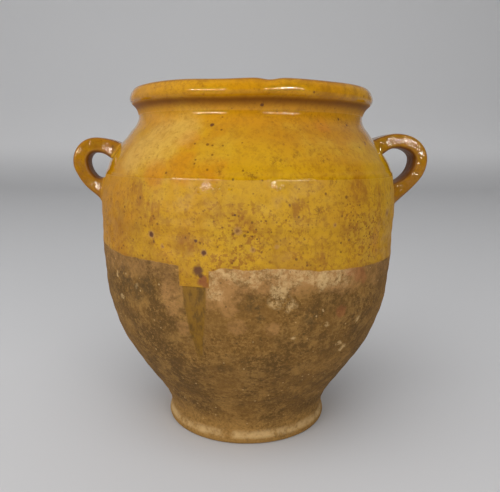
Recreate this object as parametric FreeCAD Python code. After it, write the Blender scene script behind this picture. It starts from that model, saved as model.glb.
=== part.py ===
"""A two-handled confit pot: one piece of wheel-thrown and fired earthenware, with a rolled rim and two pulled ears.

Millimetres, +Z up. The origin is the centre of the flat bottom that the pot stands on, and the ears lie along X.
The wall's outline is a smooth curve through a few named stations. The inside follows it at the wall's thickness,
and each ear takes its roots from the same outline, so a change of shape carries the ears with it.
"""

import FreeCAD
import Part
import math
import os

from FreeCAD import Vector

# Overall height, from the table to the top of the rim
HEIGHT = 300.0

# Foot: a low band that flares to its widest just above the table, with the wall drawn in above it
FOOT_RADIUS = 74.4
FOOT_WIDEST_HEIGHT = 4.0
FOOT_EDGE_ROUNDING = 2.4
WAIST_PINCH = 1.6
WAIST_HEIGHT = 13.0

# Lower wall: heights are up from the table, and each fall is how much narrower than the belly
RISE_FLARE = 5.4
RISE_HEIGHT = 30.0
CONE_FALL = 28.7
CONE_HEIGHT = 65.0
LOW_BELLY_FALL = 8.5
LOW_BELLY_HEIGHT = 105.0

# Upper wall: drops are down from the top of the rim
BELLY_RADIUS = 129.8
BELLY_DROP = 118.0
SHOULDER_FALL = 5.6
SHOULDER_DROP = 65.0
NECK_RADIUS = 97.9
NECK_DROP = 22.5
NECK_FLARE = 5.8
NECK_FOOT_DROP = 35.0

# Rolled rim: a rounded band that stands out past the neck, over an undercut
UNDERCUT_FLARE = 2.3
UNDERCUT_DROP = 15.4
RIM_OVERHANG = 8.5
RIM_BAND_HEIGHT = 11.5
RIM_LOWER_EDGE_INSET = 2.1
RIM_WIDEST_DROP = 7.0
RIM_CREST_INSET = 3.1
LIP_DEPTH = 8.0

# Clay thickness
WALL = 8.0
FLOOR = 11.0
INSIDE_CORNER_ROUNDING = 12.0

# Ears: pulled straps, crowned outside and flatter inside, pressed out wider where they join the wall
STRAP_WIDTH = 23.0
STRAP_THICKNESS = 13.2
ROOT_LENGTH = 20.0
ROOT_WIDENING = 7.0
ROOT_THICKENING = 4.0
EAR_FULLNESS = 1.15

# The right ear was pulled larger and set higher than the left. A crown is up and out from the upper root,
# and a reach is how far the strap's middle stands past the wall at the lower root.
RIGHT_ROOT_DROP = 49.5
RIGHT_ROOT_SPACING = 50.5
RIGHT_CROWN_RISE = 10.2
RIGHT_CROWN_OUT = 23.5
RIGHT_REACH = 27.7
RIGHT_REACH_FALL = 17.3
LEFT_ROOT_DROP = 54.0
LEFT_ROOT_SPACING = 40.5
LEFT_CROWN_RISE = 9.2
LEFT_CROWN_OUT = 21.8
LEFT_REACH = 21.2
LEFT_REACH_FALL = 14.5

# Slopes of an ear where it leaves the shoulder and where it comes back to the belly, as rise over run
EAR_START_SLOPE = 0.55
EAR_END_SLOPE = 0.9

# Nick that a knock left in the rim's outer top edge, a little right of the front
NICK_LENGTH = 20.0
NICK_DEPTH = 1.6
NICK_REACH_IN = 5.0
NICK_TILT = 14.0
NICK_ANGLE = -87.0

# How closely curves are followed
INSIDE_POINTS = 12
SECTIONS_PER_SPAN = 5
SECTION_POINTS = 16


def at(radius, height):
    return Vector(radius, 0, height)


def bend(start, corner, end):
    """A smooth turn that leaves start towards corner and comes in to end from it."""
    curve = Part.BezierCurve()
    curve.setPoles([start, corner, end])
    return curve


def rim_radius():
    return NECK_RADIUS + RIM_OVERHANG


def wall_outline():
    """The outer wall from the widest ring of the foot, up over the belly and neck, to the rim's lower edge."""
    waist_radius = FOOT_RADIUS - WAIST_PINCH
    curve = Part.BSplineCurve()
    curve.interpolate(
        [
            at(FOOT_RADIUS, FOOT_WIDEST_HEIGHT),
            at(waist_radius, WAIST_HEIGHT),
            at(waist_radius + RISE_FLARE, RISE_HEIGHT),
            at(BELLY_RADIUS - CONE_FALL, CONE_HEIGHT),
            at(BELLY_RADIUS - LOW_BELLY_FALL, LOW_BELLY_HEIGHT),
            at(BELLY_RADIUS, HEIGHT - BELLY_DROP),
            at(BELLY_RADIUS - SHOULDER_FALL, HEIGHT - SHOULDER_DROP),
            at(NECK_RADIUS + NECK_FLARE, HEIGHT - NECK_FOOT_DROP),
            at(NECK_RADIUS, HEIGHT - NECK_DROP),
            at(NECK_RADIUS + UNDERCUT_FLARE, HEIGHT - UNDERCUT_DROP),
            at(rim_radius() - RIM_LOWER_EDGE_INSET, HEIGHT - RIM_BAND_HEIGHT),
        ]
    )
    return curve


def place_at_height(curve, height):
    """The outline rises all the way, so a height has one place on it, found by halving."""
    low = curve.FirstParameter
    high = curve.LastParameter
    for _ in range(50):
        middle = (low + high) / 2
        if curve.value(middle).z < height:
            low = middle
        else:
            high = middle
    return (low + high) / 2


def up_the_wall(curve, place):
    return curve.tangent(place)[0]


def into_the_wall(curve, place):
    along = up_the_wall(curve, place)
    return Vector(-along.z, 0, along.x)


def inside_outline(wall):
    """The inner wall from above the floor's corner up to the neck, one wall thickness in from the outer one."""
    first = place_at_height(wall, FLOOR + INSIDE_CORNER_ROUNDING)
    last = place_at_height(wall, HEIGHT - NECK_DROP)
    points = []
    for i in range(INSIDE_POINTS):
        place = first + (last - first) * i / (INSIDE_POINTS - 1)
        points.append(wall.value(place) + into_the_wall(wall, place) * WALL)
    curve = Part.BSplineCurve()
    curve.interpolate(points)
    return curve


def foot_edges(wall):
    """The flat bottom from the centre out, and the worn round edge of the foot."""
    bottom_edge = at(FOOT_RADIUS - FOOT_EDGE_ROUNDING, 0)
    return [
        Part.LineSegment(at(0, 0), bottom_edge),
        bend(bottom_edge, at(FOOT_RADIUS, 0), wall.value(wall.FirstParameter)),
    ]


def rim_edges(wall, mouth):
    """The rolled band from its lower edge over the crest, and the lip down to the neck's inside."""
    lower_edge = wall.value(wall.LastParameter)
    widest = at(rim_radius(), HEIGHT - RIM_WIDEST_DROP)
    crest = at(rim_radius() - RIM_CREST_INSET, HEIGHT)
    lip_foot = at(mouth.x, HEIGHT - LIP_DEPTH)
    return [
        bend(lower_edge, at(rim_radius(), (lower_edge.z + widest.z) / 2), widest),
        bend(widest, at(rim_radius(), HEIGHT), crest),
        bend(crest, at(mouth.x, HEIGHT), lip_foot),
        Part.LineSegment(lip_foot, mouth),
    ]


def floor_edges(wall_foot, leaning):
    """The round inside corner, from the inner wall down to the floor, and the floor in to the centre."""
    corner = wall_foot - leaning * ((wall_foot.z - FLOOR) / leaning.z)
    floor_edge = corner - Vector(wall_foot.distanceToPoint(corner), 0, 0)
    return [
        bend(wall_foot, corner, floor_edge),
        Part.LineSegment(floor_edge, at(0, FLOOR)),
        Part.LineSegment(at(0, FLOOR), at(0, 0)),
    ]


def thrown_body(wall):
    """The pot as it leaves the wheel: one closed section turned about Z, with its seam at the back."""
    inside = inside_outline(wall)
    mouth = inside.value(inside.LastParameter)
    wall_foot = inside.value(inside.FirstParameter)
    leaning = inside.tangent(inside.FirstParameter)[0]
    curves = foot_edges(wall) + [wall] + rim_edges(wall, mouth) + [inside] + floor_edges(wall_foot, leaning)
    outline = Part.Wire(Part.__sortEdges__([curve.toShape() for curve in curves]))
    body = Part.Face(outline).revolve(Vector(0, 0, 0), Vector(0, 0, 1), 360)
    body.rotate(Vector(0, 0, 0), Vector(0, 0, 1), 90)
    return body


def ear_spans(roots, belly, crown_rise, crown_out, reach, reach_fall):
    """The middle line of an ear at +X: out of the shoulder to its crown, out and down, and back to the belly."""
    start, end = roots
    crown = start + Vector(crown_out, 0, crown_rise)
    outermost = at(belly.x + reach, crown.z - reach_fall)
    stops = [start, crown, outermost, end]
    headings = [Vector(1, 0, EAR_START_SLOPE), Vector(1, 0, 0), Vector(0, 0, -1), Vector(-1, 0, -EAR_END_SLOPE)]
    spans = []
    for i in range(3):
        handle = stops[i].distanceToPoint(stops[i + 1]) * EAR_FULLNESS / 3
        leave = Vector(headings[i]).normalize() * handle
        arrive = Vector(headings[i + 1]).normalize() * handle
        span = Part.BezierCurve()
        span.setPoles([stops[i], stops[i] + leave, stops[i + 1] - arrive, stops[i + 1]])
        spans.append(span)
    return spans


def strap_section(centre, outward, width, thickness):
    """A closed strap section, crowned on its outer side and flatter, with round corners, on its inner side."""
    points = []
    for i in range(SECTION_POINTS):
        angle = 2 * math.pi * i / SECTION_POINTS
        across = math.cos(angle)
        away = math.sin(angle)
        flattening = 0.95 if away > 0 else 0.65
        offset_across = math.copysign(abs(across) ** 0.85, across) * width / 2
        offset_away = math.copysign(abs(away) ** flattening, away) * thickness / 2
        points.append(centre + Vector(0, offset_across, 0) + outward * offset_away)
    loop = Part.BSplineCurve()
    loop.interpolate(points, PeriodicFlag=True)
    return Part.Wire(loop.toShape())


def root_share(point, root):
    """One at the root, falling smoothly to nothing a root's length away."""
    near = max(0.0, 1 - point.distanceToPoint(root) / ROOT_LENGTH)
    return near * near * (3 - 2 * near)


def ear(wall, root_drop, root_spacing, *sizes):
    """One pulled strap at +X. Its ends lie in the middle of the wall and turn to follow its slope there."""
    upper = place_at_height(wall, HEIGHT - root_drop)
    lower = place_at_height(wall, HEIGHT - root_drop - root_spacing)
    roots = [wall.value(place) + into_the_wall(wall, place) * WALL / 2 for place in (upper, lower)]
    facings = [up_the_wall(wall, upper), up_the_wall(wall, lower) * -1]
    spans = ear_spans(roots, wall.value(lower), *sizes)
    places = [(spans[0], 0.0)]
    for span in spans:
        places += [(span, (i + 1) / SECTIONS_PER_SPAN) for i in range(SECTIONS_PER_SPAN)]
    sections = []
    for span, share in places:
        centre = span.value(share)
        along = span.tangent(share)[0]
        square = Vector(-along.z, 0, along.x)
        shares = [root_share(centre, root) for root in roots]
        outward = square * (1 - sum(shares)) + facings[0] * shares[0] + facings[1] * shares[1]
        outward.normalize()
        width = STRAP_WIDTH + ROOT_WIDENING * sum(shares)
        thickness = (STRAP_THICKNESS + ROOT_THICKENING * sum(shares)) / outward.dot(square)
        sections.append(strap_section(centre, outward, width, thickness))
    return Part.makeLoft(sections, True, False)


def rim_nick():
    """The scoop to take out of the rim: a round bar across the edge, leaning down towards the outside."""
    bar_radius = (NICK_LENGTH**2 / 4 + NICK_DEPTH**2) / (2 * NICK_DEPTH)
    inner_end = rim_radius() - RIM_CREST_INSET - NICK_REACH_IN
    bar = Part.makeCylinder(bar_radius, 2 * NICK_REACH_IN + RIM_CREST_INSET, at(0, 0), Vector(1, 0, 0))
    bar.rotate(Vector(0, 0, 0), Vector(0, 1, 0), NICK_TILT)
    bar.translate(at(inner_end, HEIGHT + bar_radius))
    bar.rotate(Vector(0, 0, 0), Vector(0, 0, 1), NICK_ANGLE)
    return bar


def pot():
    wall = wall_outline()
    right = ear(
        wall, RIGHT_ROOT_DROP, RIGHT_ROOT_SPACING,
        RIGHT_CROWN_RISE, RIGHT_CROWN_OUT, RIGHT_REACH, RIGHT_REACH_FALL,
    )
    left = ear(
        wall, LEFT_ROOT_DROP, LEFT_ROOT_SPACING,
        LEFT_CROWN_RISE, LEFT_CROWN_OUT, LEFT_REACH, LEFT_REACH_FALL,
    )
    left.rotate(Vector(0, 0, 0), Vector(0, 0, 1), 180)
    return thrown_body(wall).fuse([right, left]).cut(rim_nick())


def main():
    os.makedirs("parts", exist_ok=True)
    shape = pot()
    print("valid", shape.isValid(), "solids", len(shape.Solids), "faces", len(shape.Faces))
    print("litres of clay", round(shape.Volume / 1e6, 3), "box", shape.optimalBoundingBox())
    shape.exportStep("parts/pot.step")


main()
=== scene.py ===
"""The look of the confit pot: honey glaze on the upper half, bare brown clay below, and two pulled ears.

The pot is one closed mesh that takes its outline from the model in the frame. It is turned up ring by
ring, the ears are drawn out of its wall and joined back to it, and the skin is moved as hands and use left
it. One material covers glaze and clay. Metres, +Z up. Azimuths start at the front, -Y, and grow towards the
right ear.
"""

import math
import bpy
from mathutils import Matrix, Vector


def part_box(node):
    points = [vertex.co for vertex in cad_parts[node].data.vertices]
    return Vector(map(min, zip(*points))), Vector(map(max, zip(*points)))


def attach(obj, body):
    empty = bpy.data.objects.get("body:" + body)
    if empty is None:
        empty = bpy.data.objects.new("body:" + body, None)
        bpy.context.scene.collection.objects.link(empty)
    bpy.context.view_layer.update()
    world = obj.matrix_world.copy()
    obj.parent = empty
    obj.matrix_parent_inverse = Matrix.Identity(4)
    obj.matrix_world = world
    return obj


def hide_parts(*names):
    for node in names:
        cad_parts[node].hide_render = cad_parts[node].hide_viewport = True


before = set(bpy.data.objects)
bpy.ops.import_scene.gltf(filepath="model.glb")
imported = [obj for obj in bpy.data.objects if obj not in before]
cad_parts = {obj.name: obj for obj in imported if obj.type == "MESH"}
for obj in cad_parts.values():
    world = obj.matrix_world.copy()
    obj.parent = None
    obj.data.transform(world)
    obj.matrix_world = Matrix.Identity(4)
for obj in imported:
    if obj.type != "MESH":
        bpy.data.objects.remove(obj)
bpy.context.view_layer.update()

from types import SimpleNamespace

import bmesh
import bpy
import numpy as np
from mathutils import Matrix, Vector, noise
from mathutils.geometry import interpolate_bezier

MM = 0.001
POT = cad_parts["pot"]
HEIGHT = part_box("pot")[1].z


def to_linear(shade):
    """A shade from 0 to 255, as seen in even light, as the linear value that a shader takes."""
    share = shade / 255
    return share / 12.92 if share <= 0.04045 else ((share + 0.055) / 1.055) ** 2.4


def paint(red, green, blue):
    return (to_linear(red), to_linear(green), to_linear(blue), 1.0)


# Rings of the wall, as heights in millimetres on the outside from the foot to under the rim's crest
OUTSIDE_HEIGHTS = [
    0.8, 2.2, 4, 8, 13, 19, 27, 37, 48, 60, 72, 84, 96, 108, 120, 132, 144, 156, 168, 178,
    187.5, 195.5, 203, 210.5, 218, 224, 229, 234.5, 239.9, 244.1, 248.4, 252.6, 256.9, 261.5, 267, 272.5,
    277.5, 282, 285.5, 287.5, 288.6, 289.7, 292, 295.5, 298.5,
]
CREST_SHARES = [0.13, 0.32, 0.55, 0.8]
INSIDE_HEIGHTS = [291, 284, 276, 266, 254, 240, 224, 204, 180, 154, 128, 102, 76, 52, 34, 22]
FLOOR_SHARES = [0.94, 0.7, 0.35, 0.1]
UNDERSIDE_SHARES = [0.9, 0.5, 0.15]
UNDERSIDE_INSET = 1 * MM
FLOOR_CORNER_HEIGHT = 1.5 * MM
TURN_STEPS = 72
SMOOTHING_LEVELS = 2

# Ears: heights of the wall's rows that each root takes up, and the middle line's crown and outermost point
ROOT_COLUMNS = 4
ROOT_WIDTH = 30 * MM
ROOT_FACES_OUT = 0.3
STRAP_WIDTH = 24.2 * MM
STRAP_THICKNESS = 13.8 * MM
EARS = {
    "right": {
        "side": 1, "upper": (244.1, 256.9), "lower": (195.5, 218.0),
        "crown": (135.6, 258.0), "outermost": (157.6, 240.5), "lower_root": (126.5, 205.0),
    },
    "left": {
        "side": -1, "upper": (239.9, 252.6), "lower": (203.0, 224.0),
        "crown": (136.0, 251.8), "outermost": (149.2, 237.0), "lower_root": (126.0, 208.0),
    },
}
EAR_STATIONS = 5
EAR_RISE_AT_UPPER_ROOT = 0.55
EAR_FALL_AT_LOWER_ROOT = 0.9
EAR_ROUNDNESS = 0.383
STATIONS_LEFT_TO_JOIN = 2
SWELLING_STATIONS = 3
UPPER_ROOT_SWELLING = 0.2
LOWER_ROOT_THINNING = 0.08

# Glaze line, as azimuth in degrees and height in millimetres
GLAZE_LINE = [
    (-180, 165), (-140, 168), (-100, 171), (-75, 170.5), (-59, 168.6), (-52, 167.2), (-43, 167.3),
    (-35, 167), (-27, 165.8), (-16, 163.6), (-12, 165.9), (-6, 164.9), (3, 166), (9, 165.1), (16, 163.2),
    (24, 162), (33, 161.8), (45, 161.2), (61, 160.7), (100, 162.5), (140, 160), (180, 165),
]
LINE_LOWEST = 150 * MM
LINE_RANGE = 30 * MM
LINE_WAVER = 3.2 * MM

# Where the glaze ran: a square tab below the line, then a thin film that narrows downwards
RUN_AZIMUTH = math.radians(-22)
TAB_HALF_WIDTH = 11.6 * MM
TAB_BOTTOM = 151 * MM
FILM_STARTS = (TAB_BOTTOM + 4 * MM, TAB_BOTTOM + 5 * MM)
FILM_END = 84 * MM
FILM_FADED_IN = FILM_END + 22 * MM
FILM_HALF_WIDTH = 9.6 * MM
FILM_TIP_HALF_WIDTH = 2.5 * MM
BELLY_RADIUS = 129.8 * MM

# Stretches of height over which the finish changes, each from its first height to its last
BELLY_BROWNS = (236 * MM, 190 * MM)
GLOSS_WEARS_OFF = (229 * MM, 226.5 * MM)
# Painted light: from the first height up, the glaze is lightened over the neck and rim
NECK_PAINTED_LIGHTER = (262 * MM, 272 * MM)
RECESS_STARTS = (275.8 * MM, 278.5 * MM)
RECESS_ENDS = (285.5 * MM, 287.2 * MM)
RIM_STARTS = (285 * MM, 289 * MM)
FOOT_PALES = (30 * MM, 16 * MM)
FOOT_RING_STARTS = (4 * MM, 7 * MM)
FOOT_RING_ENDS = (9 * MM, 14 * MM)
FOOT_EDGE_ENDS = (1.5 * MM, 5 * MM)

# Azimuths in radians between which the rim turns browner, and the two edges of the chalky front
RIM_BROWNS = (-0.1, 0.5)
CHALKY_FROM = (math.radians(-24), math.radians(-14))
CHALKY_TO = (math.radians(28), math.radians(44))

# Roughness of each finish, from 0, glassy, to 1, matt
GLASSY_ROUGHNESS = 0.05
PATCH_ROUGHNESS = 0.08
RECESS_ROUGHNESS = 0.5
WORN_ROUGHNESS = (0.5, 0.7)
FILM_ROUGHNESS = 0.6
CLAY_ROUGHNESS = 0.9

# Relief: how far each unevenness rises or sinks
RIPPLE_RISE = 0.30 * MM
STRAP_RIPPLE_RISE = 1.1 * MM
GLASSY_PEEL_RISE = 0.006 * MM
WORN_PEEL_RISE = 0.16 * MM
PINHOLE_DEPTH = 0.08 * MM
TOOTH_RISE = 1.3 * MM
FINE_TOOTH_RISE = 0.35 * MM
CLAY_PIT_DEPTH = 0.35 * MM
GLAZE_THICKNESS = 0.4 * MM

# Glaze colours
HONEY = paint(188, 142, 8)
AMBER = paint(176, 120, 4)
# A lighter amber, painted light on the neck and rim
PAINTED_LIGHT_AMBER = paint(206, 142, 14)
ORANGE = paint(182, 108, 4)
PALE_HONEY = paint(190, 152, 34)
# A pale cream, painted reflection of a window on the left shoulder
PAINTED_REFLECTION_CREAM = paint(206, 170, 88)
TOFFEE = paint(142, 94, 10)
UMBER = paint(90, 48, 2)
RUSSET = paint(138, 84, 6)
RUST = paint(122, 60, 34)
# A dark brown for painted shade under the rim, in the root creases and on the straps, and for pooled glaze
# and the crest's brown line
SHADE_AND_POOL_BROWN = paint(92, 40, 0)
IRON = paint(80, 40, 18)
OLIVE = paint(124, 86, 4)
DARK_OLIVE = paint(84, 56, 0)

# Clay colours
CLAY = paint(121, 85, 34)
DARK_CLAY = paint(82, 56, 18)
BUFF = paint(156, 116, 58)
PINK_CLAY = paint(166, 121, 70)
CHALK = paint(206, 172, 118)
SOOT = paint(70, 52, 24)
FIRED_RED = paint(150, 84, 46)
OCHRE = paint(150, 112, 54)

# Marks on the wall: azimuth in degrees, height and radius in millimetres
AMBER_BLUSHES = [(-27, 236, 16), (-37, 232, 13), (-17, 235, 13), (-28, 256, 11), (28, 268, 9)]
# Painted reflection of a window: pale patches on the left shoulder
PAINTED_REFLECTION_PATCHES = [(-41, 254, 25), (-50, 246, 20), (-33, 262, 18)]
SMOOTH_PATCHES = [
    (-18, 222.2, 4.4), (-15.8, 223.6, 2.8), (-14, 221.5, 1.8), (3.5, 224.6, 3.2), (6, 223.6, 2),
    (-10, 221, 1.6), (-21.5, 223, 1.8), (-20, 219.5, 1.6),
]
BROWNED_PATCHES = [
    (-45, 217, 13), (-37, 203, 10), (-24, 182, 9), (36, 222, 13), (30, 190, 10), (47, 214, 11),
    (-6, 199, 9), (11, 208, 8), (-54, 190, 9), (20, 176, 9),
]
SMUDGES = [
    (4.5, 241, 6), (12, 246, 4), (22, 243, 5), (-4, 232, 5), (32, 236, 4), (-2, 262, 3),
    (-7.6, 193.7, 4.5), (1.9, 182.5, 4), (-20, 259.5, 2), (-14, 234, 4), (24, 226, 5), (18, 205, 5),
]
PALE_PITS = [
    (-3.1, 179.7, 2.6), (54.8, 199.4, 4), (-37.4, 187.2, 3.4), (-7.8, 193, 3.6), (-18.5, 176.6, 3),
    (4.5, 181.5, 2.2), (24.3, 195.7, 2), (-33, 179.2, 2.2),
]
PIT_HEARTS = [(azimuth, height, radius * 0.5) for azimuth, height, radius in PALE_PITS]
IRON_SPOTS = [
    (-20.5, 163.5, 4.4), (-19.6, 160.5, 2.6), (-18.5, 176.6, 2.2), (-37.4, 187.0, 2.2), (-36.6, 182.2, 1.5),
    (-19.9, 266.7, 2), (0.8, 280.5, 1.4), (7.7, 275.8, 1.2), (40, 272.7, 1.4), (44.7, 268.4, 1.3),
    (27.8, 268.8, 1.1), (-21, 184.9, 1.5), (-8.6, 204.1, 1.1), (13.5, 186.1, 1.1), (8.4, 211, 1.2),
    (30.9, 183.5, 1.3), (35.2, 208.9, 1.0),
]
RUST_MARKS = [(-19.0, 155.5, 4.4), (-18.0, 153, 3.4), (-18.6, 158, 3)]
CHALK_MARKS = [
    (6, 151, 8), (21, 153, 7), (5, 142, 7), (9, 138, 6), (36.2, 93.2, 4), (-56.5, 131.7, 3), (-46, 145, 3),
    (33, 99, 3), (-52, 152, 2.5), (-58, 150, 3), (24, 120, 2.5), (12, 112, 2.5), (40, 118, 3),
]
SOOT_MARKS = [
    (-52, 150, 13), (-47, 140, 12), (-41, 148, 9), (-2.5, 140, 8), (-1, 131, 6), (17, 128, 8),
    (-30, 92.7, 2.2),
]
PINK_PATCHES = [
    (-32, 146, 9), (-30, 133, 8), (-9, 146, 9), (-11, 135, 8), (-8, 122, 8), (4, 120, 7), (-27, 118, 7),
]
RED_MARKS = [(36.5, 157, 8), (32, 159, 5), (40, 152, 5), (30, 128, 6)]

# Shape left by the thrower's hands
FINE_RING_DEPTH = 0.14 * MM
FINE_RING_SPACING = 1.9 * MM
BROAD_RING_DEPTH = 0.30 * MM
BROAD_RING_SPACING = 6.1 * MM
RIDGE_HEIGHT = 230 * MM
RIDGE_RISE = 0.55 * MM
RIDGE_WAVER = 0.4 * MM
RIDGE_HALF_WIDTH = 1.7 * MM
OVAL_MEAN = 0.35 * MM
OVAL_TWO_SIDED = 0.6 * MM
OVAL_THREE_SIDED = 0.15 * MM
SURFACE_WAVER = 0.4 * MM
WAVERS_IN_A_METRE = 14
SET_BACK = 0.3 * MM
CREST_ROLL = 1.3 * MM
NECK_MIDDLE = 281 * MM
NECK_DROP = 2 * MM
RIM_LEAN = 1.2 * MM
BELLY_LEAN = 0.9 * MM

# Stretches of height over which those shapes set in or fade, each from its first height to its last
BROAD_RINGS_START = (30 * MM, 60 * MM)
RINGS_FADE = (262 * MM, 275 * MM)
OVAL_STARTS = (20 * MM, 60 * MM)
UNEVEN_FROM = (2 * MM, 10 * MM)
UNEVEN_TO = (290 * MM, 299 * MM)
TRUED_FROM = (1 * MM, 3 * MM)
TRUED_TO = (296.5 * MM, 298.5 * MM)
CREST_ROLLS_IN = (290.5 * MM, 299.5 * MM)
RIM_LEANS = (262 * MM, 296 * MM)
BELLY_LEAN_ENDS = (180 * MM, 240 * MM)

# Dips of the rim: azimuth in degrees, drop in millimetres and half the width in degrees
RIM_DIPS = [(-75, 0.5, 25), (120, 0.6, 40), (30, 0.35, 12), (-17, 1.1, 14)]
DIPS_START = (270 * MM, 299 * MM)

# Shape left by use: the nick in the rim, and the chips as x, y, z and size in millimetres
NICK_AZIMUTH = math.radians(3)
NICK_HALF_WIDTH = 6.5 * MM
NICK_DEPTH = 1.5 * MM
NICK_HEIGHTS = (288 * MM, 298 * MM)
NICK_RADII = (95 * MM, 102 * MM)
CHIPS = [(137.5, -5, 263, 5.2), (146, -2, 262.5, 2.5), (155, -9, 226, 2.2), (151, -9, 219, 2.0)]
CHIP_DEPTH = 0.35 * MM

# Painted shade: under the rim, where glaze also pools, and in the creases of the roots, as x and z in
# millimetres
UNDERCUT_HEIGHT = 286.3 * MM
ROOT_CREASES = [(118, 252), (127, 208), (-118, 247), (-127, 213)]
EAR_MIDDLE_X = 130 * MM
EAR_MIDDLE_Z = 236 * MM

# Camera: where it stands from the pot's axis, and how it is turned
CAMERA_AZIMUTH = math.radians(-4.5)
CAMERA_PITCH = math.radians(9.95)
CAMERA_ROLL = math.radians(0.5)
CAMERA_DISTANCE = 0.5
CAMERA_HEIGHT = 0.2475
CAMERA_TO_THE_RIGHT = 1.3 * MM
LENS = 38.88
SENSOR_WIDTH = 36

# Lamps: name, azimuth in degrees, distance, height, length, width and watts
TUBES = [("left tube", -43.5, 2.5, 0.66, 1.5, 0.05, 20), ("right tube", 25.5, 2.5, 0.66, 1.45, 0.05, 18)]
GLINTS = [
    ("left glint", -43.5, 2.49, 0.66, 1.5, 0.05, 19), ("right glint", 25.5, 2.49, 0.66, 1.45, 0.05, 16),
]
SOFT_LAMPS = [("soft window", -80, 2.3, 1.3, 2.0, 1.6, 7), ("soft ceiling", -14, 1.1, 2.3, 2.4, 1.8, 25)]
LAMPS_AIM_AT = Vector((0, 0, 0.24))

# Floor and backdrop
FLOOR_SIZE = 6
COVE_STEPS = 8
COVE_STEP = 0.12
BACKDROP_HEIGHT = 3
FLOOR_GREY = (0.58, 0.58, 0.59, 1)
BACKDROP_GREY = (0.84, 0.84, 0.85, 1)
GREYS_MEET_AT = 0.3


def hit(start, direction):
    found, place, _, _ = POT.ray_cast(Vector(start), Vector(direction))
    if not found:
        raise ValueError(f"nothing of the pot lies along {direction} from {start}")
    return place


def outside_radius(height):
    return hit((0, 1, height), (0, -1, 0)).y


def inside_radius(height):
    return hit((0, 0, height), (0, 1, 0)).y


def crest_height(radius):
    return hit((0, radius, 1), (0, 0, -1)).z


def on_wall(azimuth, height):
    """The place on the outer wall at an azimuth in degrees and a height in millimetres."""
    radius = outside_radius(height * MM)
    turn = math.radians(azimuth)
    return Vector((radius * math.sin(turn), -radius * math.cos(turn), height * MM))


def section_stations():
    """Radius and height of each ring, from the underside's middle up the outside and down the inside."""
    outside = [(outside_radius(h * MM), h * MM) for h in OUTSIDE_HEIGHTS]
    inside = [(inside_radius(h * MM), h * MM) for h in INSIDE_HEIGHTS]
    foot = outside[0][0] - UNDERSIDE_INSET
    floor_height = hit((0, 0, HEIGHT / 2), (0, 0, -1)).z
    floor = inside_radius(floor_height + FLOOR_CORNER_HEIGHT)
    rim, mouth = outside[-1][0], inside[0][0]
    crest = [rim + (mouth - rim) * share for share in CREST_SHARES]
    stations = [(foot * share, 0.0) for share in reversed(UNDERSIDE_SHARES)] + [(foot, 0.0)]
    stations += outside + [(radius, crest_height(radius)) for radius in crest] + inside
    stations += [(floor * share, floor_height) for share in FLOOR_SHARES]
    return stations


def turn_wall():
    """The thrown body: a small ring at the middle of the underside, drawn out ring by ring and closed."""
    stations = section_stations()
    radius, height = stations[0]
    bpy.ops.mesh.primitive_circle_add(
        vertices=TURN_STEPS, radius=radius, location=(0, 0, height), fill_type="NGON"
    )
    body = bpy.context.object
    bpy.ops.object.mode_set(mode="EDIT")
    bpy.ops.mesh.select_all(action="SELECT")
    bpy.ops.mesh.flip_normals()
    bpy.ops.mesh.select_mode(type="EDGE")
    for new_radius, new_height in stations[1:]:
        bpy.ops.mesh.extrude_edges_move(TRANSFORM_OT_translate={"value": (0, 0, new_height - height)})
        grow = new_radius / radius
        bpy.ops.transform.resize(value=(grow, grow, 1), center_override=(0, 0, new_height))
        radius, height = new_radius, new_height
    bpy.ops.mesh.edge_face_add()
    bpy.ops.mesh.select_mode(type="FACE")
    bpy.ops.mesh.select_all(action="SELECT")
    bpy.ops.mesh.normals_make_consistent(inside=False)
    bpy.ops.object.mode_set(mode="OBJECT")
    body.location = (0, 0, 0)
    return body


def select_root(mesh, side, low, high):
    """Selects the outer wall's faces that a root takes up, and returns them."""
    bpy.ops.mesh.select_all(action="DESELECT")
    reach = math.radians(360 / TURN_STEPS) * ROOT_COLUMNS / 2
    picked = []
    for face in mesh.faces:
        middle = face.calc_center_median()
        angle = math.atan2(middle.y, middle.x * side)
        outer = face.normal.x * side > ROOT_FACES_OUT
        if outer and abs(angle) < reach and low * MM < middle.z < high * MM:
            face.select_set(True)
            picked.append(face)
    mesh.select_flush(True)
    return picked


def narrow_root(mesh, side, rows):
    """Draws the faces of a root together until they are as wide as the root."""
    faces = select_root(mesh, side, *rows)
    wide = max(v.co.y for f in faces for v in f.verts) * 2
    bpy.ops.transform.resize(value=(1, ROOT_WIDTH / wide, 1), center_override=(0, 0, 0))


def ear_line(start, ear):
    """Places on the middle line: over the crown, round the outermost point, down to the lower root."""
    side = ear["side"]
    crown, outermost, end = [
        Vector((x * side * MM, 0, z * MM)) for x, z in (ear["crown"], ear["outermost"], ear["lower_root"])
    ]
    stops = [start, crown, outermost, end]
    headings = [
        Vector((side, 0, EAR_RISE_AT_UPPER_ROOT)), Vector((side, 0, 0)), Vector((0, 0, -1)),
        Vector((-side, 0, -EAR_FALL_AT_LOWER_ROOT)),
    ]
    line = []
    for i in range(3):
        reach = (stops[i + 1] - stops[i]).length * EAR_ROUNDNESS
        leave = stops[i] + headings[i].normalized() * reach
        arrive = stops[i + 1] - headings[i + 1].normalized() * reach
        line += interpolate_bezier(stops[i], leave, arrive, stops[i + 1], EAR_STATIONS + 1)[1:]
    return line


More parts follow.
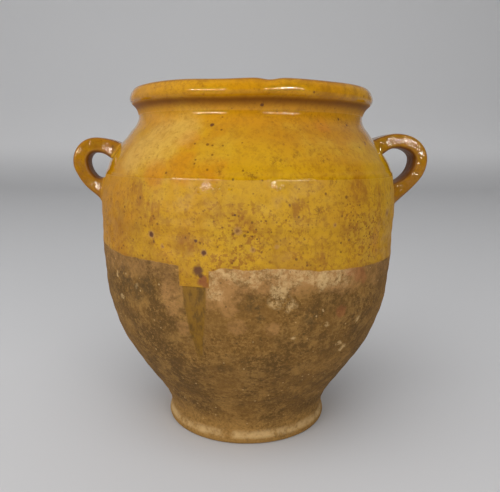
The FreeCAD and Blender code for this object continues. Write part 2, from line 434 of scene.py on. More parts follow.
def draw_ear(body, ear):
    """Draws a strap out of the wall at its upper root and joins its end to the wall at the lower one."""
    side = ear["side"]
    mesh = bmesh.from_edit_mesh(body.data)
    narrow_root(mesh, side, ear["lower"])
    narrow_root(mesh, side, ear["upper"])
    faces = select_root(mesh, side, *ear["upper"])
    start = sum((f.calc_center_median() for f in faces), Vector()) / len(faces)
    heading = sum((f.normal for f in faces), Vector()).normalized()
    line = ear_line(start, ear)[:-STATIONS_LEFT_TO_JOIN]
    before = start
    for i, place in enumerate(line):
        ahead = line[i + 1] if i + 1 < len(line) else place + (place - line[i - 1])
        behind = line[i - 1] if i else start
        new_heading = (ahead - behind).normalized()
        bpy.ops.mesh.extrude_region_move(TRANSFORM_OT_translate={"value": place - before})
        turn = math.atan2(new_heading.z, new_heading.x) - math.atan2(heading.z, heading.x)
        shape_section(body, place, new_heading, i, len(line), turn)
        before, heading = place, new_heading
    join_lower_root(body, side, ear["lower"])


def shape_section(body, place, heading, step, steps, turn):
    """Turns the strap's newest section square to its heading and gives it its width and thickness."""
    bpy.ops.transform.rotate(value=turn, orient_axis="Y", orient_type="GLOBAL", center_override=place)
    mesh = bmesh.from_edit_mesh(body.data)
    corners = [v for v in mesh.verts if v.select]
    square = Vector((-heading.z, 0, heading.x))
    offsets = [(v.co - place).dot(square) for v in corners]
    along = [(v.co - place).dot(heading) for v in corners]
    wide = max(v.co.y for v in corners) * 2
    thick = max(offsets) - min(offsets)
    near_upper_root = max(0.0, 1 - step / SWELLING_STATIONS)
    near_lower_root = max(0.0, 1 - (steps - 1 - step) / SWELLING_STATIONS)
    swelling = 1 + UPPER_ROOT_SWELLING * near_upper_root ** 2 - LOWER_ROOT_THINNING * near_lower_root ** 2
    grow_width = STRAP_WIDTH * swelling / wide
    grow_thickness = STRAP_THICKNESS * swelling / thick
    for vertex, offset, forward in zip(corners, offsets, along):
        vertex.co -= heading * forward
        vertex.co += square * offset * (grow_thickness - 1)
        vertex.co.y *= grow_width
    bmesh.update_edit_mesh(body.data)


def join_lower_root(body, side, rows):
    """Bridges the strap's end, which is selected, to the faces of its lower root."""
    mesh = bmesh.from_edit_mesh(body.data)
    end_faces = [f for f in mesh.faces if f.select]
    root_faces = select_root(mesh, side, *rows)
    for face in end_faces + root_faces:
        face.select_set(True)
    bpy.ops.mesh.bridge_edge_loops()


def smooth_and_apply(body):
    bpy.ops.object.select_all(action="DESELECT")
    body.select_set(True)
    bpy.context.view_layer.objects.active = body
    rounding = body.modifiers.new("Rounding", "SUBSURF")
    rounding.levels = SMOOTHING_LEVELS
    rounding.render_levels = SMOOTHING_LEVELS
    bpy.ops.object.modifier_apply(modifier=rounding.name)
    bpy.ops.object.shade_smooth()


def make_pot():
    for item in bpy.context.selected_objects:
        item.select_set(False)
    body = turn_wall()
    body.name = "pot_glazed"
    bpy.ops.object.mode_set(mode="EDIT")
    for ear in EARS.values():
        draw_ear(body, ear)
    bpy.ops.mesh.select_all(action="SELECT")
    bpy.ops.mesh.normals_make_consistent(inside=False)
    bpy.ops.object.mode_set(mode="OBJECT")
    smooth_and_apply(body)
    return body


def smooth_step(value, low, high):
    share = np.clip((value - low) / (high - low), 0, 1)
    return share * share * (3 - 2 * share)


def hump(value, centre, half_width):
    return np.exp(-(((value - centre) / half_width) ** 2))


def read_vectors(vertices, name):
    """A named vector of every vertex, as rows of x, y and z."""
    values = np.empty(len(vertices) * 3, np.float32)
    vertices.foreach_get(name, values)
    return values.reshape(-1, 3).astype(float)


def read_skin(mesh):
    """Where each vertex lies before it is moved, and how far it is wall, ear or inside, from 0 to 1."""
    places = read_vectors(mesh.vertices, "co")
    radius = np.hypot(places[:, 0], places[:, 1])
    height = places[:, 2].copy()
    heights = np.linspace(1 * MM, HEIGHT - 2 * MM, 150)
    outer = np.interp(height, heights, [outside_radius(h) for h in heights])
    wall = smooth_step(radius, outer - 5 * MM, outer - 3 * MM)
    return SimpleNamespace(
        places=places,
        radius=radius,
        azimuth=np.arctan2(places[:, 0], -places[:, 1]),
        height=height,
        outer=outer,
        wall=wall,
        on_ear=smooth_step(radius, outer + 1 * MM, outer + 4 * MM),
        inside=(1 - wall) * smooth_step(height, 6 * MM, 9 * MM),
    )


def throwing_rings(height, azimuth):
    """Fine and broad finger rings, fainter on the neck and rim."""
    fine = np.sin(height / FINE_RING_SPACING + 1.3 * np.sin(height / (31 * MM)))
    broad = np.sin(height / BROAD_RING_SPACING + 0.6 * np.sin(azimuth))
    rings = FINE_RING_DEPTH * fine + BROAD_RING_DEPTH * broad * smooth_step(height, *BROAD_RINGS_START)
    return rings * (1 - 0.8 * smooth_step(height, *RINGS_FADE))


def turn_unevenly(skin):
    """Rings, the ridge at the shoulder and an oval, wavering turn, about the outline of the model."""
    height, azimuth, radius, outer, wall = skin.height, skin.azimuth, skin.radius, skin.outer, skin.wall
    ridge_line = RIDGE_HEIGHT + RIDGE_WAVER * np.sin(2 * azimuth)
    ridge = RIDGE_RISE * hump(height, ridge_line, RIDGE_HALF_WIDTH)
    oval = OVAL_MEAN - OVAL_TWO_SIDED * np.cos(2 * azimuth) + OVAL_THREE_SIDED * np.cos(3 * azimuth + 2)
    waver = np.array([noise.noise(Vector(p) * WAVERS_IN_A_METRE) for p in skin.places]) * SURFACE_WAVER
    swell = (throwing_rings(height, azimuth) + ridge) * wall + oval * smooth_step(height, *OVAL_STARTS)
    swell += waver - SET_BACK
    swell *= (1 - skin.on_ear) * smooth_step(height, *UNEVEN_FROM) * (1 - smooth_step(height, *UNEVEN_TO))
    to_outline = (outer - radius) * wall * (1 - smooth_step(radius, outer + 0.3 * MM, outer + 2 * MM))
    swell += to_outline * smooth_step(height, *TRUED_FROM) * (1 - smooth_step(height, *TRUED_TO))
    grow = np.where(radius > 20 * MM, 1 + swell / np.maximum(radius, 1 * MM), 1)
    skin.places[:, :2] *= grow[:, None]


def settle_rim(skin):
    """The crest rolled in, the neck sunk a little, and the rim and the belly leaning to their own sides."""
    height = skin.height
    inward = skin.wall * CREST_ROLL * smooth_step(height, *CREST_ROLLS_IN)
    roll = 1 - inward / np.maximum(skin.radius, 1 * MM)
    skin.places[:, :2] *= roll[:, None]
    skin.places[:, 2] -= NECK_DROP * hump(height, NECK_MIDDLE, 13 * MM) * (1 - skin.on_ear)
    skin.places[:, 0] += RIM_LEAN * smooth_step(height, *RIM_LEANS)
    skin.places[:, 0] -= BELLY_LEAN * (1 - smooth_step(height, *BELLY_LEAN_ENDS))


def wear_rim(skin):
    """The nick in the front of the rim, and the dips of its crest."""
    along_rim = skin.azimuth * skin.radius
    nick = hump(along_rim, NICK_AZIMUTH * skin.radius, NICK_HALF_WIDTH)
    nick *= smooth_step(skin.height, *NICK_HEIGHTS) * smooth_step(skin.radius, *NICK_RADII)
    skin.places[:, 2] -= NICK_DEPTH * nick
    for azimuth, drop, half_width in RIM_DIPS:
        dip = hump(skin.azimuth, math.radians(azimuth), math.radians(half_width))
        skin.places[:, 2] -= drop * MM * dip * smooth_step(skin.height, *DIPS_START)


def knock_chips(skin):
    """Sinks each chip of the right ear a little, and returns how far each vertex is chipped."""
    chipped = np.zeros(len(skin.places))
    for x, y, z, size in CHIPS:
        away = np.linalg.norm(skin.places - np.array((x, y, z)) * MM, axis=1)
        near = hump(away, 0, size * MM)
        chipped = np.maximum(chipped, near)
        outward = np.array((np.sign(x), 0, 0.4))
        skin.places -= near[:, None] * outward * CHIP_DEPTH
    return chipped


def pooled_glaze_and_painted_shade(skin, normals):
    """Painted shade under the rim, where glaze also pools, in the root creases and on the straps, and the
    crest's brown line.
    """
    height, places = skin.height, skin.places
    # Painted shade under the rim's overhang and a faint tail down the neck, with glaze pooled under the rim
    above_undercut = hump(height, UNDERCUT_HEIGHT, 2.2 * MM)
    below_undercut = hump(height, UNDERCUT_HEIGHT, 4.0 * MM)
    under_rim = np.where(height > UNDERCUT_HEIGHT, above_undercut, below_undercut)
    under_rim = np.maximum(under_rim, 0.08 * hump(height, NECK_MIDDLE, 7 * MM)) * skin.wall
    # Painted shade in the creases where the ears join the wall
    creases = np.zeros(len(places))
    for x, z in ROOT_CREASES:
        away = np.hypot(places[:, 0] - x * MM, places[:, 2] - z * MM)
        creases = np.maximum(creases, 0.5 * hump(away, 0, 5 * MM) * hump(places[:, 1], 0, 13 * MM))
    # The brown line along the rim's crest
    rim_top = 0.7 * hump(height, HEIGHT, 1.6 * MM)
    # Painted shade on the straps: darker on their edges and on the faces that turn in towards the loop's
    # middle
    to_middle_x = (EAR_MIDDLE_X - np.abs(places[:, 0])) * np.sign(places[:, 0])
    to_middle_z = EAR_MIDDLE_Z - places[:, 2]
    inward = normals[:, 0] * to_middle_x + normals[:, 2] * to_middle_z
    inward /= np.hypot(to_middle_x, to_middle_z)
    strap_edges = 0.85 * hump(np.abs(normals[:, 1]), 0.5, 0.3)
    straps = skin.on_ear * np.maximum(strap_edges, 0.8 * smooth_step(inward, 0.1, 0.6))
    return np.maximum.reduce([under_rim, creases, rim_top, straps])


def by_hand(body):
    """Moves the skin as hands and use left it, and stores where it is inside, chipped or ear, and its
    painted shade and pooled glaze.
    """
    mesh = body.data
    skin = read_skin(mesh)
    turn_unevenly(skin)
    settle_rim(skin)
    wear_rim(skin)
    chipped = knock_chips(skin)
    mesh.vertices.foreach_set("co", skin.places.astype(np.float32).ravel())
    mesh.update()
    # Painted shade, pooled glaze and the crest's brown line, kept for the material
    pooled_and_painted_shade = pooled_glaze_and_painted_shade(skin, read_vectors(mesh.vertices, "normal"))
    stored = {"inside": skin.inside, "chipped": chipped, "pooled_and_painted_shade": pooled_and_painted_shade, "ear": skin.on_ear}
    for name, values in stored.items():
        layer = mesh.attributes.new(name, "FLOAT", "POINT")
        layer.data.foreach_set("value", values.astype(np.float32))


def add_node(tree, kind, sockets=None, **settings):
    """Adds a node, joins or fills the named sockets, and returns the node."""
    made = tree.nodes.new(kind)
    for name, value in settings.items():
        setattr(made, name, value)
    for socket, value in (sockets or {}).items():
        if isinstance(value, bpy.types.NodeSocket):
            tree.links.new(value, made.inputs[socket])
        else:
            made.inputs[socket].default_value = value
    return made


def calc(tree, operation, first, second=0.0):
    return add_node(tree, "ShaderNodeMath", {0: first, 1: second}, operation=operation).outputs[0]


def vector_calc(tree, operation, sockets):
    return add_node(tree, "ShaderNodeVectorMath", sockets, operation=operation).outputs[0]


def times(tree, first, second):
    return calc(tree, "MULTIPLY", first, second)


def plus(tree, first, second):
    return calc(tree, "ADD", first, second)


def minus(tree, first, second):
    return calc(tree, "SUBTRACT", first, second)


def ramp(tree, value, low, high, start=0.0, end=1.0):
    """Start below low, end above high, and a smooth change between."""
    sockets = {"Value": value, "From Min": low, "From Max": high, "To Min": start, "To Max": end}
    return add_node(tree, "ShaderNodeMapRange", sockets, interpolation_type="SMOOTHSTEP").outputs[0]


def between(tree, value, rises, falls):
    """Rises from 0 to 1 over the first range, and falls back over the second."""
    return times(tree, ramp(tree, value, *rises), ramp(tree, value, *falls, start=1.0, end=0.0))


def mix(tree, share, first, second):
    """A number between two, as far along as the share says."""
    return add_node(tree, "ShaderNodeMix", {0: share, 2: first, 3: second}, data_type="FLOAT").outputs[0]


def lay(tree, under, over, mask, strength=None):
    """One colour laid over another where the mask is, as strongly as given."""
    share = mask if strength is None else times(tree, mask, strength)
    return add_node(tree, "ShaderNodeMix", {0: share, 6: under, 7: over}, data_type="RGBA").outputs[2]


def attribute(tree, name):
    return add_node(tree, "ShaderNodeAttribute", attribute_name=name).outputs["Fac"]


def cloud(tree, place, scale, detail=4.0, roughness=0.55, warp=0.0):
    """Soft uneven patches, about one over scale metres across."""
    sockets = {"Vector": place, "Scale": scale, "Detail": detail, "Roughness": roughness}
    sockets["Distortion"] = warp
    return add_node(tree, "ShaderNodeTexNoise", sockets).outputs[0]


def patches(tree, place, scale, low, high, start=0.0, end=1.0, **cloud_settings):
    """A cloud that is start below low, end above high, and changes smoothly between."""
    return ramp(tree, cloud(tree, place, scale, **cloud_settings), low, high, start, end)


def stretched(tree, place, upright):
    """The place with its height scaled, so that a pattern on it is drawn out upright below 1."""
    return vector_calc(tree, "MULTIPLY", {0: place, 1: (1.0, 1.0, upright)})


def grains(tree, place, scale, size, share):
    """Separate dots: size is a dot's radius in metres, share the part of the cells that hold one."""
    cells = add_node(tree, "ShaderNodeTexVoronoi", {"Vector": place, "Scale": scale})
    chance = add_node(tree, "ShaderNodeSeparateColor", {0: cells.outputs["Color"]}).outputs[0]
    dot = ramp(tree, cells.outputs["Distance"], size * scale * 0.55, size * scale, 1.0, 0.0)
    return times(tree, dot, calc(tree, "GREATER_THAN", chance, 1 - share))


def marks(tree, place, spots):
    """A mask of named marks, each an azimuth in degrees, a height and a radius in millimetres."""
    mask = None
    for azimuth, height, radius in spots:
        sockets = {0: place, 1: on_wall(azimuth, height)}
        away = add_node(tree, "ShaderNodeVectorMath", sockets, operation="DISTANCE").outputs["Value"]
        mark = ramp(tree, away, radius * 0.5 * MM, radius * 1.15 * MM, 1.0, 0.0)
        mask = mark if mask is None else calc(tree, "MAXIMUM", mask, mark)
    return mask


def ragged(tree, place, scale, amount):
    """The place, pushed about unevenly, so that marks drawn on it get uneven edges."""
    stir = add_node(tree, "ShaderNodeTexNoise", {"Vector": place, "Scale": scale, "Detail": 3.0})
    push = vector_calc(tree, "SUBTRACT", {0: stir.outputs["Color"], 1: (0.5, 0.5, 0.5)})
    push = vector_calc(tree, "SCALE", {0: push, "Scale": amount})
    return vector_calc(tree, "ADD", {0: place, 1: push})


def glaze_line_height(tree, azimuth):
    """The height of the glaze line, read from its named points by azimuth."""
    whole_turn = {"Value": azimuth, "From Min": -math.pi, "From Max": math.pi}
    turn = add_node(tree, "ShaderNodeMapRange", whole_turn).outputs[0]
    line = add_node(tree, "ShaderNodeFloatCurve", {"Value": turn})
    curve = line.mapping.curves[0]
    shares = [(a / 360 + 0.5, (h * MM - LINE_LOWEST) / LINE_RANGE) for a, h in GLAZE_LINE]
    curve.points[0].location = shares[0]
    curve.points[1].location = shares[-1]
    for share in shares[1:-1]:
        curve.points.new(*share)
    line.mapping.update()
    return plus(tree, times(tree, line.outputs[0], LINE_RANGE), LINE_LOWEST)


def glaze_depth(tree, place, azimuth, height, aside, waver):
    """How far inside the glaze a point lies, in metres: above the line, or within the run's square tab."""
    above = plus(tree, minus(tree, height, glaze_line_height(tree, azimuth)), waver)
    tab = calc(tree, "MINIMUM", minus(tree, TAB_HALF_WIDTH, aside), minus(tree, height, TAB_BOTTOM))
    return calc(tree, "MAXIMUM", above, plus(tree, tab, times(tree, waver, 0.3)))


def run_film(tree, height, aside, waver):
    """The thin film below the tab: a narrowing tongue that fades towards its end."""
    width = ramp(tree, height, FILM_END, TAB_BOTTOM, FILM_TIP_HALF_WIDTH, FILM_HALF_WIDTH)
    inside = ramp(tree, minus(tree, plus(tree, width, waver), aside), -0.8 * MM, 1.2 * MM)
    fade = ramp(tree, height, FILM_END, FILM_FADED_IN)
    below = ramp(tree, height, *FILM_STARTS, start=1.0, end=0.0)
    return times(tree, times(tree, inside, fade), below)


def read_surface(tree):
    """What the finish goes by at each point: its place, plain and stirred, its glaze, film and masks."""
    place = add_node(tree, "ShaderNodeTexCoord").outputs["Object"]
    x, y, height = add_node(tree, "ShaderNodeSeparateXYZ", {0: place}).outputs
    azimuth = calc(tree, "ARCTAN2", x, times(tree, y, -1.0))
    aside = calc(tree, "ABSOLUTE", times(tree, minus(tree, azimuth, RUN_AZIMUTH), BELLY_RADIUS))
    stir = minus(tree, cloud(tree, place, 90, detail=5.0, roughness=0.65), 0.5)
    waver = times(tree, stir, LINE_WAVER)
    rough_place = ragged(tree, place, 190.0, 9 * MM)
    return SimpleNamespace(
        place=place,
        rough_place=rough_place,
        spot_place=ragged(tree, place, 320.0, 2.6 * MM),
        azimuth=azimuth,
        height=height,
        depth=glaze_depth(tree, place, azimuth, height, aside, waver),
        film=run_film(tree, height, aside, waver),
        smooth=marks(tree, rough_place, SMOOTH_PATCHES),
        inside=attribute(tree, "inside"),
        chipped=attribute(tree, "chipped"),
        shade_and_pool=attribute(tree, "pooled_and_painted_shade"),
        ear=attribute(tree, "ear"),
    )


def glaze_ground(tree, at):
    """Honey glaze, amber where it lies thick, pale cream patches of painted reflection on the left
    shoulder, and painted light on neck and rim.
    """
    thick = patches(tree, at.place, 13, 0.36, 0.66, detail=3.0, roughness=0.5, warp=0.4)
    colour = lay(tree, HONEY, AMBER, thick)
    colour = lay(tree, colour, ORANGE, marks(tree, at.rough_place, AMBER_BLUSHES), 0.55)
    colour = lay(tree, colour, PALE_HONEY, patches(tree, at.place, 26, 0.5, 0.7, end=0.6))
    # Painted light: lighter amber on the neck and rim
    colour = lay(tree, colour, PAINTED_LIGHT_AMBER, ramp(tree, at.height, *NECK_PAINTED_LIGHTER, end=0.45))
    # Painted reflection: pale cream patches on the left shoulder
    colour = lay(tree, colour, PAINTED_REFLECTION_CREAM, marks(tree, at.rough_place, PAINTED_REFLECTION_PATCHES), 0.4)
    streaks = patches(tree, stretched(tree, at.place, 0.16), 120, 0.5, 0.72, end=0.35, roughness=0.6)
    return lay(tree, colour, AMBER, streaks)


def glaze_mottling(tree, at, colour, low):
    """Brown mottles, drips and dots, most of them low on the belly, and the browner ears and rim."""
    mottle = patches(tree, at.place, 150, 0.44, 0.68, detail=7.0, roughness=0.74, warp=0.5)
    colour = lay(tree, colour, TOFFEE, mottle, ramp(tree, low, 0.0, 1.0, 0.42, 0.62))
    greyed = patches(tree, at.place, 30, 0.46, 0.64, end=0.4, detail=5.0, roughness=0.6)
    colour = lay(tree, colour, TOFFEE, greyed, low)
    drawn = stretched(tree, at.place, 0.45)
    drips = patches(tree, drawn, 210, 0.42, 0.6, 0.1, 0.75, detail=6.0, roughness=0.75)
    colour = lay(tree, colour, RUSSET, marks(tree, at.rough_place, BROWNED_PATCHES), drips)
    on_rim = ramp(tree, at.height, *RIM_STARTS)
    on_rim = times(tree, on_rim, ramp(tree, at.azimuth, *RIM_BROWNS, start=0.35))
    rim_mottle = patches(tree, at.place, 70, 0.46, 0.62, end=0.5, detail=5.0, roughness=0.65)
    colour = lay(tree, colour, TOFFEE, on_rim, rim_mottle)
    colour = lay(tree, colour, RUSSET, at.ear, 0.45)
    ear_mottle = patches(tree, at.place, 90, 0.42, 0.6, 0.15, 0.85, detail=6.0, roughness=0.7, warp=0.4)
    colour = lay(tree, colour, TOFFEE, at.ear, ear_mottle)
    dusty = patches(tree, at.place, 24, 0.38, 0.62, 0.45, 1.0, detail=3.0)
    dusty = times(tree, dusty, ramp(tree, low, 0.0, 1.0, 0.42, 1.0))
    stipple = patches(tree, at.place, 330, 0.5, 0.6, end=0.85, detail=5.0, roughness=0.7)
    colour = lay(tree, colour, RUSSET, stipple, dusty)
    small_dots = grains(tree, at.place, 300.0, size=0.95 * MM, share=0.5)
    colour = lay(tree, colour, UMBER, small_dots, times(tree, dusty, 0.8))
    colour = lay(tree, colour, UMBER, grains(tree, at.place, 150.0, size=1.2 * MM, share=0.2), 0.7)
    return lay(tree, colour, UMBER, grains(tree, at.place, 80.0, size=1.7 * MM, share=0.1), 0.75)


def glaze_marks(tree, at, colour):
    """Smudges, painted shade with pooled glaze, pale pits with dark hearts, rust below the tab and iron
    spots.
    """
    dirt = patches(tree, at.place, 420, 0.46, 0.62, roughness=0.75)
    smudged = times(tree, marks(tree, at.rough_place, SMUDGES), dirt)
    colour = lay(tree, colour, UMBER, smudged, 0.55)
    # Painted shade under the rim, in the root creases and on the straps, with pooled glaze under the rim
    # and the crest's brown line
    colour = lay(tree, colour, SHADE_AND_POOL_BROWN, at.shade_and_pool, 0.8)
    colour = lay(tree, colour, PINK_CLAY, marks(tree, at.spot_place, PALE_PITS), 0.55)
    colour = lay(tree, colour, UMBER, marks(tree, at.spot_place, PIT_HEARTS), 0.6)
    colour = lay(tree, colour, RUST, marks(tree, at.spot_place, RUST_MARKS), 0.8)
    return lay(tree, colour, IRON, marks(tree, at.spot_place, IRON_SPOTS), 0.9)


def glaze_colour(tree, at):
    low = ramp(tree, at.height, *BELLY_BROWNS)
    colour = glaze_mottling(tree, at, glaze_ground(tree, at), low)
    colour = glaze_marks(tree, at, colour)
    lower_edge = ramp(tree, at.depth, 0.2 * MM, 3.0 * MM, 0.35, 0.0)
    return lay(tree, colour, TOFFEE, lower_edge)


def clay_ground(tree, at, fine):
    """Brown and buff fired clay with its broad, middle and fine unevenness."""
    broad = patches(tree, at.place, 19, 0.42, 0.62, end=0.8, detail=8.0, roughness=0.7)
    colour = lay(tree, CLAY, DARK_CLAY, broad)
    middle = patches(tree, at.place, 60, 0.47, 0.62, detail=8.0, roughness=0.75)
    colour = lay(tree, colour, BUFF, middle, 0.6)
    grainy = patches(tree, at.place, 34, 0.38, 0.62, 0.35, 0.95, detail=5.0, roughness=0.65)
    colour = lay(tree, colour, BUFF, ramp(tree, fine, 0.5, 0.64), grainy)
    return lay(tree, colour, DARK_CLAY, ramp(tree, fine, 0.5, 0.37), grainy)


def clay_stains(tree, at, colour):
    """The pink and chalky band under the glaze line, with chalk, soot and fired red on the belly."""
    stir = minus(tree, cloud(tree, at.place, 45, detail=7.0, roughness=0.7), 0.5)
    below = plus(tree, at.depth, times(tree, stir, 34 * MM))
    front = ramp(tree, at.azimuth, *CHALKY_FROM, start=0.35)
    front = times(tree, front, ramp(tree, at.azimuth, *CHALKY_TO, start=1.0, end=0.35))
    patchy = patches(tree, at.place, 120, 0.4, 0.56, 0.3, 0.95, detail=8.0, roughness=0.75)
    pink = ramp(tree, below, -21 * MM, -9 * MM)
    colour = lay(tree, colour, PINK_CLAY, pink, times(tree, patchy, front))
    band = times(tree, ramp(tree, below, -13 * MM, -7 * MM), ramp(tree, front, 0.6, 1.0))
    broken = patches(tree, at.place, 190, 0.42, 0.6, 0.05, 0.72, detail=7.0, roughness=0.8)
    colour = lay(tree, colour, CHALK, band, broken)
    rosy = marks(tree, at.rough_place, PINK_PATCHES)
    colour = lay(tree, colour, PINK_CLAY, rosy, times(tree, patchy, 0.6))
    crust = patches(tree, at.place, 170, 0.4, 0.58, detail=7.0, roughness=0.78)
    chalky = times(tree, marks(tree, at.rough_place, CHALK_MARKS), crust)
    colour = lay(tree, colour, CHALK, chalky, 0.7)
    smoke = patches(tree, at.place, 140, 0.4, 0.58, detail=7.0, roughness=0.75)
    sooty = times(tree, marks(tree, at.rough_place, SOOT_MARKS), smoke)
    colour = lay(tree, colour, SOOT, sooty, 0.6)
    colour = lay(tree, colour, FIRED_RED, marks(tree, at.rough_place, RED_MARKS), 0.4)
    colour = lay(tree, colour, CHALK, grains(tree, at.place, 190.0, size=1.0 * MM, share=0.16), 0.5)
    return lay(tree, colour, SOOT, grains(tree, at.place, 240.0, size=1.0 * MM, share=0.2), 0.5)


def clay_colour(tree, at):
    """Bare fired clay, stained under the glaze line, paler on the foot and ochre at its edge."""
    fine = cloud(tree, stretched(tree, at.place, 1.15), 360, detail=7.0, roughness=0.82, warp=0.3)
    colour = clay_stains(tree, at, clay_ground(tree, at, fine))
    foot = ramp(tree, at.height, *FOOT_PALES)
    colour = lay(tree, colour, BUFF, foot, ramp(tree, fine, 0.42, 0.58, 0.25, 0.8))
    ring = between(tree, at.height, FOOT_RING_STARTS, FOOT_RING_ENDS)
    # A paler, chalky ring round the foot, broken into patches
    pale_foot_ring = times(tree, ring, patches(tree, at.place, 55, 0.36, 0.58, detail=6.0, roughness=0.7))
    colour = lay(tree, colour, CHALK, pale_foot_ring, 0.65)
    return lay(tree, colour, OCHRE, ramp(tree, at.height, *FOOT_EDGE_ENDS, start=0.6, end=0.0))


def filmed_colour(tree, at, clay):
    """The clay under the thin olive film of the run."""
    drawn = stretched(tree, at.place, 0.4)
    darker = patches(tree, drawn, 260, 0.42, 0.62, end=0.85, detail=5.0, roughness=0.7)
    return lay(tree, clay, lay(tree, OLIVE, DARK_OLIVE, darker), at.film, 0.95)


def surface_gloss(tree, at, coverage):
    """Roughness: glassy glaze high up, worn glaze below the ridge, duller in the recess, and dull clay."""
    not_ear = ramp(tree, at.ear, 0.0, 0.6, 1.0, 0.0)
    low = times(tree, ramp(tree, at.height, *GLOSS_WEARS_OFF), not_ear)
    worn = patches(tree, at.place, 85, 0.4, 0.62, *WORN_ROUGHNESS, roughness=0.6)
    worn = ramp(tree, at.smooth, 0.1, 0.6, worn, PATCH_ROUGHNESS)
    recess = between(tree, at.height, RECESS_STARTS, RECESS_ENDS)
    # The mask of painted shade and pooled glaze also dulls the glaze there
    recess = calc(tree, "MAXIMUM", recess, ramp(tree, at.shade_and_pool, 0.15, 0.6))
    upper = ramp(tree, recess, 0.0, 1.0, GLASSY_ROUGHNESS, RECESS_ROUGHNESS)
    glaze = ramp(tree, low, 0.0, 1.0, upper, worn)
    clay = ramp(tree, at.film, 0.0, 1.0, CLAY_ROUGHNESS, FILM_ROUGHNESS)
    return mix(tree, coverage, clay, glaze)


def surface_relief(tree, at, coverage):
    """Heights in metres: the glaze's ripples and pinholes, the clay's coarse tooth, the step between."""
    ripple = times(tree, cloud(tree, at.place, 42, detail=2.0), RIPPLE_RISE)
    pulled = times(tree, cloud(tree, at.place, 150, detail=2.0), times(tree, at.ear, STRAP_RIPPLE_RISE))
    peel_rise = ramp(tree, at.height, *GLOSS_WEARS_OFF, start=GLASSY_PEEL_RISE, end=WORN_PEEL_RISE)
    peel_rise = times(tree, peel_rise, ramp(tree, at.smooth, 0.1, 0.6, 1.0, 2.0))
    peel = times(tree, cloud(tree, at.place, 330, roughness=0.6), peel_rise)
    pinholes = times(tree, grains(tree, at.place, 150.0, size=1.2 * MM, share=0.2), -PINHOLE_DEPTH)
    glaze = plus(tree, plus(tree, plus(tree, ripple, pulled), peel), pinholes)
    coarse = times(tree, cloud(tree, at.place, 110, detail=8.0, roughness=0.72), TOOTH_RISE)
    fine = times(tree, cloud(tree, at.place, 650, roughness=0.7), FINE_TOOTH_RISE)
    pits = times(tree, grains(tree, at.place, 150.0, size=1.2 * MM, share=0.12), -CLAY_PIT_DEPTH)
    clay = plus(tree, plus(tree, coarse, fine), pits)
    clay = times(tree, clay, ramp(tree, at.film, 0.0, 1.0, 1.0, 0.45))
    step = times(tree, coverage, GLAZE_THICKNESS)
    return plus(tree, mix(tree, coverage, clay, glaze), step)


def fired_surface():
    """One material for the whole pot: glaze where it was dipped and poured, bare clay elsewhere."""
    material = bpy.data.materials.new("honey glaze over brown clay")
    material.use_nodes = True
    tree = material.node_tree
    shader = tree.nodes["Principled BSDF"]
    shader.inputs["Specular IOR Level"].default_value = 0.3
    shader.inputs["Specular Tint"].default_value = (1.0, 0.95, 0.83, 1.0)
    at = read_surface(tree)
    chip_edge = plus(tree, at.chipped, times(tree, cloud(tree, at.place, 400), 0.35))
    dipped = ramp(tree, at.depth, -0.25 * MM, 0.35 * MM)
    poured = ramp(tree, at.inside, 0.4, 0.6)
    unchipped = ramp(tree, chip_edge, 0.55, 0.65, 1.0, 0.0)
    coverage = times(tree, calc(tree, "MAXIMUM", dipped, poured), unchipped)
    clay = clay_colour(tree, at)
    clay = lay(tree, clay, SOOT, ramp(tree, chip_edge, 0.5, 0.7, 0.0, 0.8))
    clay = filmed_colour(tree, at, clay)
    tree.links.new(lay(tree, clay, glaze_colour(tree, at), coverage), shader.inputs["Base Color"])
    tree.links.new(surface_gloss(tree, at, coverage), shader.inputs["Roughness"])
    relief = {"Height": surface_relief(tree, at, coverage), "Distance": 1.0, "Strength": 1.0}
    tree.links.new(add_node(tree, "ShaderNodeBump", relief).outputs[0], shader.inputs["Normal"])
    return material


def pale_backdrop():
    """Plain and matt: light grey where the pot stands, paler up the wall behind."""
    material = bpy.data.materials.new("pale backdrop")
    material.use_nodes = True
    tree = material.node_tree
    shader = tree.nodes["Principled BSDF"]
    place = add_node(tree, "ShaderNodeTexCoord").outputs["Object"]
    up = add_node(tree, "ShaderNodeSeparateXYZ", {0: place}).outputs[2]
    shade = lay(tree, FLOOR_GREY, BACKDROP_GREY, ramp(tree, up, 0.0, GREYS_MEET_AT))
    tree.links.new(shade, shader.inputs["Base Color"])
    shader.inputs["Roughness"].default_value = 0.9
    return material


def set_floor():
    """A pale floor that curves up into a pale wall behind."""
    bpy.ops.mesh.primitive_plane_add(size=FLOOR_SIZE, location=(0, 0, 0))
    floor = bpy.context.object
    floor.name = "floor"
    bpy.ops.object.mode_set(mode="EDIT")
    mesh = bmesh.from_edit_mesh(floor.data)
    bpy.ops.mesh.select_mode(type="EDGE")
    bpy.ops.mesh.select_all(action="DESELECT")
    for edge in mesh.edges:
        edge.select_set(all(v.co.y > 0 for v in edge.verts))
    for step in range(1, COVE_STEPS + 1):
        turn = math.radians(90) * (step - 0.5) / COVE_STEPS
        move = (0, COVE_STEP * math.cos(turn), COVE_STEP * math.sin(turn))
        bpy.ops.mesh.extrude_edges_move(TRANSFORM_OT_translate={"value": move})
    bpy.ops.mesh.extrude_edges_move(TRANSFORM_OT_translate={"value": (0, 0, BACKDROP_HEIGHT)})
    bpy.ops.mesh.select_all(action="DESELECT")
    bpy.ops.object.mode_set(mode="OBJECT")
    floor.data.materials.append(pale_backdrop())
    bpy.ops.object.shade_smooth()


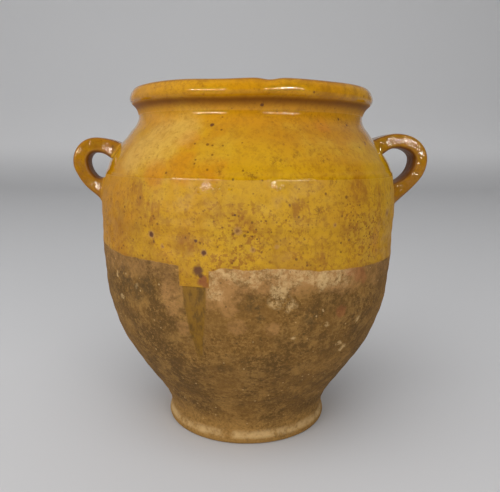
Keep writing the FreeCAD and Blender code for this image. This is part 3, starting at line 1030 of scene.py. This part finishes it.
def add_lamp(name, azimuth, distance, height, length, width, power):
    """A flat lamp turned to the pot's shoulder."""
    data = bpy.data.lights.new(name, "AREA")
    data.shape = "RECTANGLE"
    data.size = length
    data.size_y = width
    data.energy = power
    lamp = bpy.data.objects.new(name, data)
    bpy.context.scene.collection.objects.link(lamp)
    turn = math.radians(azimuth)
    lamp.location = (distance * math.sin(turn), -distance * math.cos(turn), height)
    aim = LAMPS_AIM_AT - lamp.location
    lamp.rotation_euler = aim.to_track_quat("-Z", "Y").to_euler()
    return lamp


def set_light():
    """Two long low tubes in front, a soft window on the left and a soft ceiling.

    Each tube has a twin that only reflections show, so that the streaks on the glaze are bright at a plain
    level of light. The window and the ceiling light the pot and stay out of its reflections.
    """
    for lamp in TUBES:
        add_lamp(*lamp)
    for lamp in GLINTS:
        add_lamp(*lamp).visible_diffuse = False
    for lamp in SOFT_LAMPS:
        add_lamp(*lamp).visible_glossy = False


def set_room():
    """A dim room, brighter overhead and far to the left."""
    world = bpy.data.worlds.new("room")
    world.use_nodes = True
    tree = world.node_tree
    direction = add_node(tree, "ShaderNodeTexCoord").outputs["Generated"]
    sideways, _, upward = add_node(tree, "ShaderNodeSeparateXYZ", {0: direction}).outputs
    overhead = ramp(tree, upward, 0.1, 1.0, 0.14, 0.55)
    leftward = ramp(tree, sideways, -0.55, -0.95, 0.0, 0.45)
    background = tree.nodes["Background"]
    background.inputs["Color"].default_value = (1, 1, 1, 1)
    tree.links.new(plus(tree, overhead, leftward), background.inputs["Strength"])
    bpy.context.scene.world = world


def set_camera():
    back = Vector((math.sin(CAMERA_AZIMUTH), -math.cos(CAMERA_AZIMUTH), 0))
    to_the_right = Vector((math.cos(CAMERA_AZIMUTH), math.sin(CAMERA_AZIMUTH), 0))
    data = bpy.data.cameras.new("camera")
    data.lens = LENS
    data.sensor_width = SENSOR_WIDTH
    camera = bpy.data.objects.new("camera", data)
    bpy.context.scene.collection.objects.link(camera)
    turned = Matrix.Rotation(CAMERA_AZIMUTH, 4, "Z")
    turned @= Matrix.Rotation(math.pi / 2 - CAMERA_PITCH, 4, "X")
    turned @= Matrix.Rotation(CAMERA_ROLL, 4, "Z")
    place = back * CAMERA_DISTANCE + Vector((0, 0, CAMERA_HEIGHT)) + to_the_right * CAMERA_TO_THE_RIGHT
    camera.matrix_world = Matrix.Translation(place) @ turned
    bpy.context.scene.camera = camera


pot = make_pot()
by_hand(pot)
pot.data.materials.append(fired_surface())
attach(pot, "root")
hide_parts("pot")
set_floor()
set_light()
set_room()
set_camera()
bpy.context.scene.view_settings.view_transform = "Standard"
